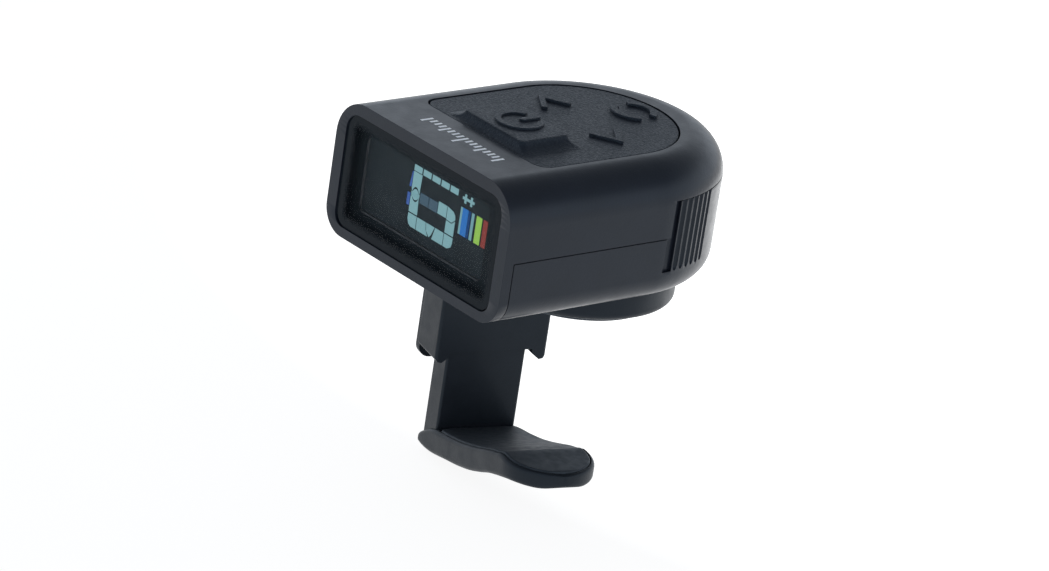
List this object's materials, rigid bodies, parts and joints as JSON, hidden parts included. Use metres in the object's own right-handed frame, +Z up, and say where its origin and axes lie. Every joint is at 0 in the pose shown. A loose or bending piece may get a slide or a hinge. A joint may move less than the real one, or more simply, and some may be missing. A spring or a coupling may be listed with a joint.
{
  "type": "clip-on instrument tuner",
  "caption": "Small clip-on tuner: a dark head with a colour display and rubber keypad swivels on a ratchet clamp with two padded jaws; its battery tray slides out.",
  "frame": {"origin": "centre of the upper jaw pad's gripping face, on the axis that the head swivels about", "axes": "+Z up through the head along the swivel axis, the display faces -Y at rest, the clamp's sleeve stands on the -X side, 15 degrees round from -X"},
  "size_m": [0.0358, 0.0339, 0.044],
  "materials": {
    "shell_plastic": "fine satin moulded",
    "clamp_plastic": "fine satin moulded",
    "keypad_rubber": "fine sparkled grain",
    "pad_rubber": "smooth matt",
    "foam_rubber": "closed-cell foam",
    "window": "smoked, polished",
    "lcd_glass": "display with printed colour cells",
    "clear_plastic": "clear acrylic",
    "white_plastic": "satin moulded",
    "amber_film": "polyimide film",
    "circuit_board": "solder mask",
    "chip_plastic": "epoxy",
    "ceramic_white": "fired, matt",
    "brass": "rolled sheet",
    "nickel_steel": "nickel plated"
  },
  "bodies": {
    "clamp": {"clamp_frame": "clamp_plastic", "upper_pad": "pad_rubber", "lever_pin": "nickel_steel", "lever_spring": "nickel_steel"},
    "lower_jaw": {"jaw_frame": "clamp_plastic", "lower_pad": "pad_rubber"},
    "release_lever": {"release_lever": "clamp_plastic"},
    "tray": {"lower_shell": "shell_plastic", "coin_cell": "nickel_steel", "friction_ring": "white_plastic", "swivel_washer": "nickel_steel", "swivel_screw": "nickel_steel"},
    "housing": {"upper_shell": "shell_plastic", "display_window": "window", "lcd_gasket": "foam_rubber", "lcd_frame": "white_plastic", "lcd_panel": "lcd_glass", "light_guide": "clear_plastic", "backlight_led": "white_plastic", "lcd_flex": "amber_film", "keypad_mat": "keypad_rubber", "main_pcb": "circuit_board", "pcb_screw_1": "nickel_steel", "pcb_screw_2": "nickel_steel", "pcb_screw_3": "nickel_steel", "pcb_screw_4": "nickel_steel", "power_switch": "chip_plastic", "left_switch": "chip_plastic", "right_switch": "chip_plastic", "mode_switch": "chip_plastic", "mcu_chip": "chip_plastic", "amplifier_chip": "chip_plastic", "crystal_can": "nickel_steel", "filter_capacitor": "ceramic_white", "supply_capacitor": "ceramic_white", "piezo_plate": "brass", "piezo_ceramic": "ceramic_white", "battery_contact_negative": "brass", "battery_contact_positive": "brass"},
    "power_key": {"power_key": "keypad_rubber"},
    "left_key": {"left_key": "keypad_rubber"},
    "right_key": {"right_key": "keypad_rubber"},
    "mode_key": {"mode_key": "keypad_rubber"}
  },
  "joints": [
    {"name": "jaw_slide", "type": "slide", "parent": "clamp", "child": "lower_jaw", "axis": [0, 0, 1], "range_m": [0, 0.007]},
    {"name": "lever_hinge", "type": "hinge", "parent": "clamp", "child": "release_lever", "pos_m": [-0.01975, 0.00529, 0.0009], "axis": [0.2588, 0.9659, 0], "range_deg": [0, 9], "stiffness_Nm_per_rad": 0.004, "springref_deg": -17.19},
    {"name": "swivel", "type": "hinge", "parent": "clamp", "child": "tray", "pos_m": [0, 0, 0], "axis": [0, 0, 1], "continuous": true},
    {"name": "tray_slide", "type": "slide", "parent": "tray", "child": "housing", "axis": [0, -1, 0], "range_m": [0, 0.03]},
    {"name": "power_press", "type": "slide", "parent": "housing", "child": "power_key", "axis": [0, 0, -1], "range_m": [0, 0.0006], "stiffness_N_per_m": 60, "springref_m": -0.001},
    {"name": "left_press", "type": "slide", "parent": "housing", "child": "left_key", "axis": [0, 0, -1], "range_m": [0, 0.0004], "stiffness_N_per_m": 60, "springref_m": -0.001},
    {"name": "right_press", "type": "slide", "parent": "housing", "child": "right_key", "axis": [0, 0, -1], "range_m": [0, 0.0004], "stiffness_N_per_m": 60, "springref_m": -0.001},
    {"name": "mode_press", "type": "slide", "parent": "housing", "child": "mode_key", "axis": [0, 0, -1], "range_m": [0, 0.0004], "stiffness_N_per_m": 60, "springref_m": -0.001}
  ]
}
